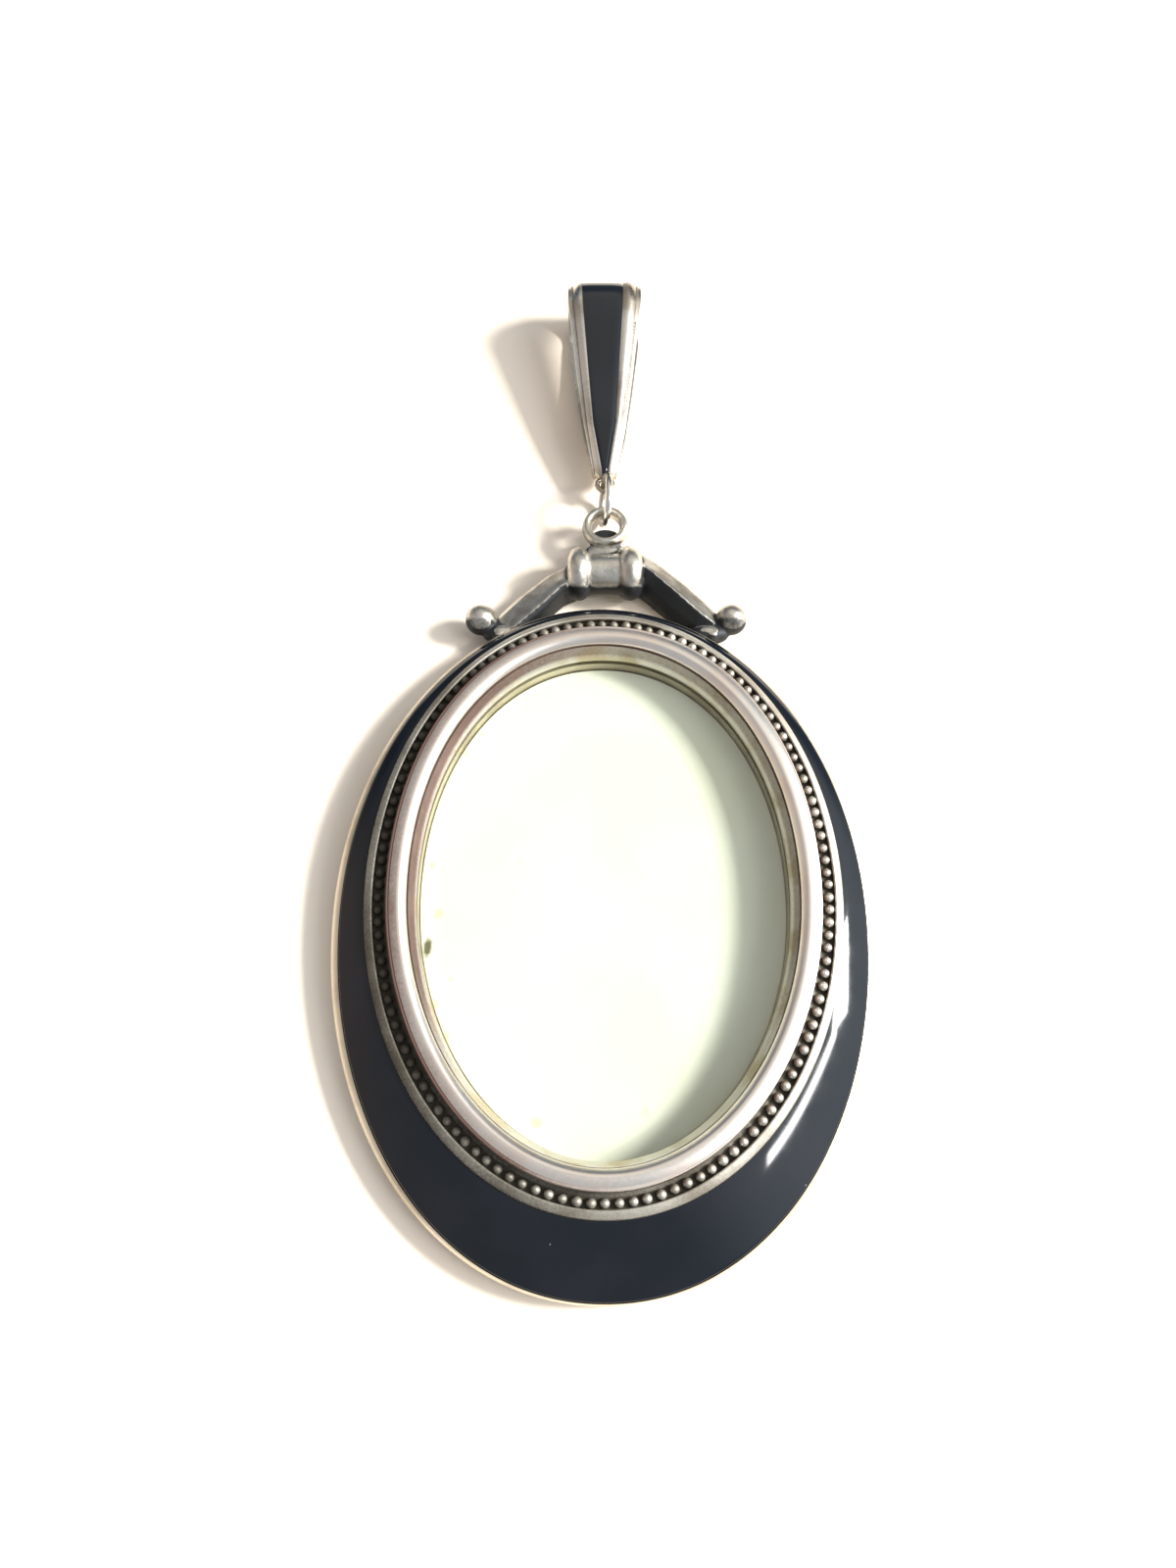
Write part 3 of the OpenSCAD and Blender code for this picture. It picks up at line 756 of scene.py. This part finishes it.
# Dark where the attribute says: patina in the hollows and painted shade
cast_silver, surface = new_finish("cast silver")
lumps = grain(surface, 0.9, 4)
pits = grain(surface, 4.5, 4)
darkness = surface.node("ShaderNodeAttribute", {"attribute_name": "tarnish_and_shade"}, output="Fac")
darkness = (darkness + (lumps - 0.5) * 0.5 + (pits - 0.5) * 0.3).between(0.1, 0.8)
bright = lumps.between(0.35, 0.7).blend(tone(214, 210, 200), tone(180, 173, 160))
put_on(cast_silver, {
    "Base Color": darkness.blend(bright, tone(24, 27, 30)),
    "Metallic": 1 - darkness * 0.75,
    "Roughness": 0.26 + pits * 0.14 + darkness * 0.25,
    "Normal": relief(surface, lumps + pits * 0.6, 0.035),
})
set_down("cast_crest", crest, cast_silver, "crest", 80)

# Jump ring. A plain ring of round silver wire that stands nearly on edge and links the ring of
# the crest with the eye of the chain loop.
JUMP_WIRE = 0.32
JUMP_LEAN = 8
jump_size = jump_high - jump_low
jump_centre = (jump_low + jump_high) / 2
jump_silver = worn_silver("jump ring silver", tone(232, 228, 218), tone(200, 192, 180),
                          tone(60, 52, 44), 0.22)
jump_ring = bmesh.new()
jump_ring.verts.layers.float.new("tarnish_and_shade")
torus(jump_ring, jump_centre, jump_size[1] / 2 - JUMP_WIRE, JUMP_WIRE, 90 + JUMP_LEAN)
set_down("link_ring", jump_ring, jump_silver, "jump_ring", 80)

# Chain loop. A tapered silver strip folded into a loop: a flange along each side, a raised
# frame on its front round the enamel, and a small eye at its tip that hangs in the jump ring.
loop_low, loop_high = box_mm("bail")
LOOP_T = 0.45
FRAME_T = 0.36
TIP_R = 0.6
TIP_Z = 2.0
RECESS = 0.34
ROUND = 0.09
TIP_EYE_R, TIP_EYE_WIRE = 0.68, 0.22
loop_r = (loop_high[2] - FRAME_T) / 2
bend_y = loop_high[1] - loop_r - FRAME_T
eye_y = loop_low[1] + TIP_EYE_R + TIP_EYE_WIRE
tip_y = eye_y + TIP_EYE_R + TIP_R + 0.02
reach = math.hypot(bend_y - tip_y, loop_r - TIP_Z)
lean = math.atan2(loop_r - TIP_Z, bend_y - tip_y)
half_turn = math.asin((loop_r - TIP_R) / reach)


def between_ends(first, second, steps):
    """Straight stretch of the side view, between the ends of two arcs."""
    shares = [i / steps for i in range(1, steps)]
    return [(*(a + (b - a) * s for a, b in zip(first[:3], second)), first[3]) for s in shares]


def side_view(steps_bend=48, steps_tip=16, steps_side=30):
    """Points and outward directions round the loop in its side view, from the tip over the front."""
    front, back = math.pi / 2 + half_turn + lean, -math.pi / 2 - half_turn + lean
    tops = [(tip_y, TIP_Z, TIP_R, a) for a in np.linspace(math.pi, front, steps_tip)]
    bend = [(bend_y, loop_r, loop_r, a) for a in np.linspace(front, back, steps_bend)]
    last = [(tip_y, TIP_Z, TIP_R, a) for a in np.linspace(back + 2 * math.pi, math.pi, steps_tip)]
    path = tops + between_ends(tops[-1], bend[0], steps_side)
    path += bend + between_ends(bend[-1], last[0], steps_side) + last
    return [(y + r * math.cos(a), z + r * math.sin(a), math.cos(a), math.sin(a)) for y, z, r, a in path]


# Distance from the loop's tip, its half width, that of the enamel, and the width of the flange
WIDTHS = np.array([
    (1.0, 0.9, 0.1, 0.16), (3.0, 1.26, 0.45, 0.2), (6.2, 1.85, 1.0, 0.3), (11.0, 2.5, 1.42, 0.42),
    (17.7, 3.26, 1.95, 0.5), (21.8, 3.42, 2.12, 0.52),
])


def wide(y, column):
    """Width from the table at a place along the loop."""
    return np.interp(y - loop_low[1], WIDTHS[:, 0], WIDTHS[:, column])


def aside(y):
    """How far the enamel lies to the left of the loop's middle."""
    return -0.06 - 0.018 * (y - loop_low[1] - 3)


side_points = side_view()
loop_rows = []
loop_tarnish = []
for y, z, out_y, out_z in side_points:
    half = wide(y, 1)
    flange = half - wide(y, 3)
    window = min(wide(y, 2), flange - 0.12)
    ridge = window + (flange - window) * 0.36
    # The raised frame runs along the front and half round the bend, with its recess a little shorter
    height = FRAME_T if z >= loop_r - 0.01 or (y < bend_y and out_z > 0.3) else 0.0
    depth = RECESS if height and z >= TIP_Z + 0.35 and (z >= loop_r + 0.5 or y < bend_y) else 0.0
    round_x = min(ROUND, half * 0.2)
    nip = round_x * 0.3
    # Half width, height over the strip and tarnish, from the middle out and back underneath
    section = [
        (0, height - depth, 0.15), (window - 0.05, height - depth, 0.5),
        (window, height - depth + 0.02, 0.9), (window, height - min(depth, ROUND), 0.55),
        (window + ROUND * 0.4, height, 0.45), (ridge, height, 0.2),
        (ridge + (flange - ridge) * 0.4, height * 0.72, 0.0), (flange, height * 0.12, 0.1),
        (flange + 0.02, 0.02, 0.7), (half - round_x, 0.0, 0.1), (half - nip, -nip, 0), (half, -round_x, 0),
        (half, -LOOP_T + round_x, 0), (half - nip, -LOOP_T + nip, 0.2), (half - round_x, -LOOP_T, 0.3),
        (0, -LOOP_T, 0.3),
    ]
    section += [(-x, n, dark) for x, n, dark in section[-2:0:-1]]
    shift = aside(y) if height else 0
    section = [(x + shift * (abs(x) <= window), n, dark) for x, n, dark in section]
    loop_rows.append([Vector((crest_x + x, y + out_y * n, z + out_z * n)) for x, n, dark in section])
    loop_tarnish.append([dark for x, n, dark in section])
loop = bmesh.new()
tarnish_and_shade = loop.verts.layers.float.new("tarnish_and_shade")
along, across = len(loop_rows), len(loop_rows[0])
for vert in bmesh.ops.create_grid(loop, x_segments=across, y_segments=along - 1, size=1)["verts"]:
    column = round((vert.co.x + 1) / 2 * across) % across
    row = round((vert.co.y + 1) / 2 * (along - 1))
    vert[tarnish_and_shade] = loop_tarnish[row][column]
    vert.co = loop_rows[row][column]
torus(loop, (crest_x, eye_y, TIP_Z), TIP_EYE_R, TIP_EYE_WIRE)
# The fine beading along the right flange: number of grains, first one, distance and radius
MILGRAIN, MILGRAIN_FROM, MILGRAIN_STEP, MILGRAIN_R = 27, 2.6, 0.32, 0.13
front_line = sorted((point[0], point[1]) for point in side_points if point[3] > 0.3)
for i in range(MILGRAIN):
    y = bend_y - MILGRAIN_FROM - i * MILGRAIN_STEP
    edge = wide(y, 1) - wide(y, 3) / 2
    z = np.interp(y, *zip(*front_line))
    size = MILGRAIN_R * (1 - 0.4 * i / MILGRAIN)
    bmesh.ops.create_uvsphere(loop, u_segments=8, v_segments=6, radius=size,
                              matrix=Matrix.Translation((crest_x + edge, y, z)))
loop_silver = worn_silver("chain loop silver", tone(230, 226, 216), tone(178, 168, 152),
                          tone(70, 58, 48), 0.22)
set_down("chain_loop", loop, loop_silver, "bail", 60)

# Enamel of the chain loop. The same black enamel, let into the raised frame on the loop's front
# and slightly crowned across.
wedge_rows = []
# Right half of the section, from its edge in: share of the half width and depth under the frame
CROWN = [(1, 0.28), (1, 0.12), (0.86, 0.06), (0.5, 0.025), (0, 0.02)]
crown = [(-share, under) for share, under in CROWN] + CROWN[-2::-1]
for y, z, out_y, out_z in side_points:
    if out_z < 0.05 or z < TIP_Z + 0.4 or (y >= bend_y and z < loop_r + 0.58):
        continue
    middle, half = crest_x + aside(y), wide(y, 2) - GAP
    section = [(middle + half * share, FRAME_T - under) for share, under in crown]
    wedge_rows.append([Vector((x, y + out_y * n, z + out_z * n)) for x, n in section])
wedge = bmesh.new()
skin(wedge, wedge_rows)
set_down("loop_enamel", wedge, black_enamel, "bail_enamel", 60)

# Table, light and camera. The piece lies on a white table. A soft lamp on the right throws the
# shadows, a narrow one beside it draws the long streak in the enamel, and the room around them
# is what the silver mirrors.
TABLE_LENGTH_M = 1.6
TABLE_DROP = 0.05
table = bmesh.new()
bmesh.ops.create_grid(table, x_segments=1, y_segments=1, size=TABLE_LENGTH_M / 2,
                      matrix=Matrix.Translation((0, 0, -TABLE_DROP * MM)))
table_mesh = bpy.data.meshes.new("table")
table.to_mesh(table_mesh)
table.free()
white_table, surface = new_finish("white table")
mottle = grain(surface, 0.02, 3).between(0.3, 0.7)
put_on(white_table, {
    "Base Color": mottle.blend((0.93, 0.82, 0.69, 1), (0.93, 0.84, 0.73, 1)),
    "Roughness": 0.6,
    "Specular IOR Level": 0.2,
})
table_mesh.materials.append(white_table)
table_top = bpy.data.objects.new("table", table_mesh)
bpy.context.collection.objects.link(table_top)

scene = bpy.context.scene
scene.view_settings.view_transform = "Standard"
LAMP_DISTANCE_M = 0.6


def bearing(turn, height):
    """Direction from an angle round from the right and one up from the table, in degrees."""
    turn, height = math.radians(turn), math.radians(height)
    return Vector((math.cos(height) * math.cos(turn), math.cos(height) * math.sin(turn), math.sin(height)))


def soft_lamp(name, first, last, width, power):
    """Long soft lamp from one bearing to another, so many metres wide, with its power in watts."""
    first, last = bearing(*first) * LAMP_DISTANCE_M, bearing(*last) * LAMP_DISTANCE_M
    light = bpy.data.lights.new(name, "AREA")
    light.shape = "RECTANGLE"
    light.size = (last - first).length
    light.size_y = width
    light.energy = power
    light.color = (1.0, 0.99, 0.97)
    lamp = bpy.data.objects.new(name, light)
    middle = (first + last) / 2
    along_lamp = (last - first).normalized()
    out = (middle - along_lamp * middle.dot(along_lamp)).normalized()
    turned = Matrix((along_lamp, out.cross(along_lamp), out)).transposed().to_4x4()
    lamp.matrix_world = Matrix.Translation(middle + Vector((0, case_y * MM, 0))) @ turned
    bpy.context.collection.objects.link(lamp)


soft_lamp("key", (-3, 34), (13, 37), 0.1, 7.4)
soft_lamp("strip", (-4, 36), (-32, 52), 0.032, 0.85)

world = bpy.data.worlds.new("room")
world.use_nodes = True
scene.world = world
sky = Wire(world.node_tree).node("ShaderNodeTexCoord", output="Generated")
across, along, up = [sky.node("ShaderNodeSeparateXYZ", {}, {0: sky}, axis) for axis in "XYZ"]
# Walls warm on the left and cool on the right, paler at their foot, and dark at the far end
walls = across.between(-0.7, 0.9).blend((0.66, 0.54, 0.48, 1), (0.85, 0.92, 0.95, 1))
wall_foot = across.between(-0.3, 0.6).blend((0.72, 0.65, 0.55, 1), (0.9, 0.95, 0.97, 1))
walls = up.between(0.28, 0.1).blend(walls, wall_foot)
walls = along.between(0.2, 0.65).blend(walls, (0.1, 0.13, 0.17, 1))
# A dim ceiling with a warm patch towards the far end, and a grey wall at the near end
room = up.between(0.3, 0.9).blend(walls, (0.4, 0.42, 0.45, 1))
room = (along * 0.5 + up * 0.87).between(0.86, 0.98).blend(room, (0.8, 0.75, 0.68, 1))
room = along.between(-0.1, -0.75).blend(room, (0.42, 0.44, 0.48, 1))
# A bright patch half way up on the right
room = (across * 0.75 + up * 0.66).between(0.72, 1.0).blend(room, (1.5, 1.62, 1.72, 1))
feed(world.node_tree, world.node_tree.nodes["Background"].inputs["Color"], room)

camera = bpy.data.cameras.new("camera")
camera.sensor_fit = "VERTICAL"
camera.sensor_height = 36
camera.lens = FOCAL_PX / IMAGE_H * camera.sensor_height
camera.clip_start = 0.005
camera_rig = bpy.data.objects.new("camera", camera)
camera_rig.location = Vector(CAMERA_PLACE) * MM
camera_rig.rotation_euler = (math.radians(CAMERA_TILT), 0, 0)
bpy.context.collection.objects.link(camera_rig)
scene.camera = camera_rig
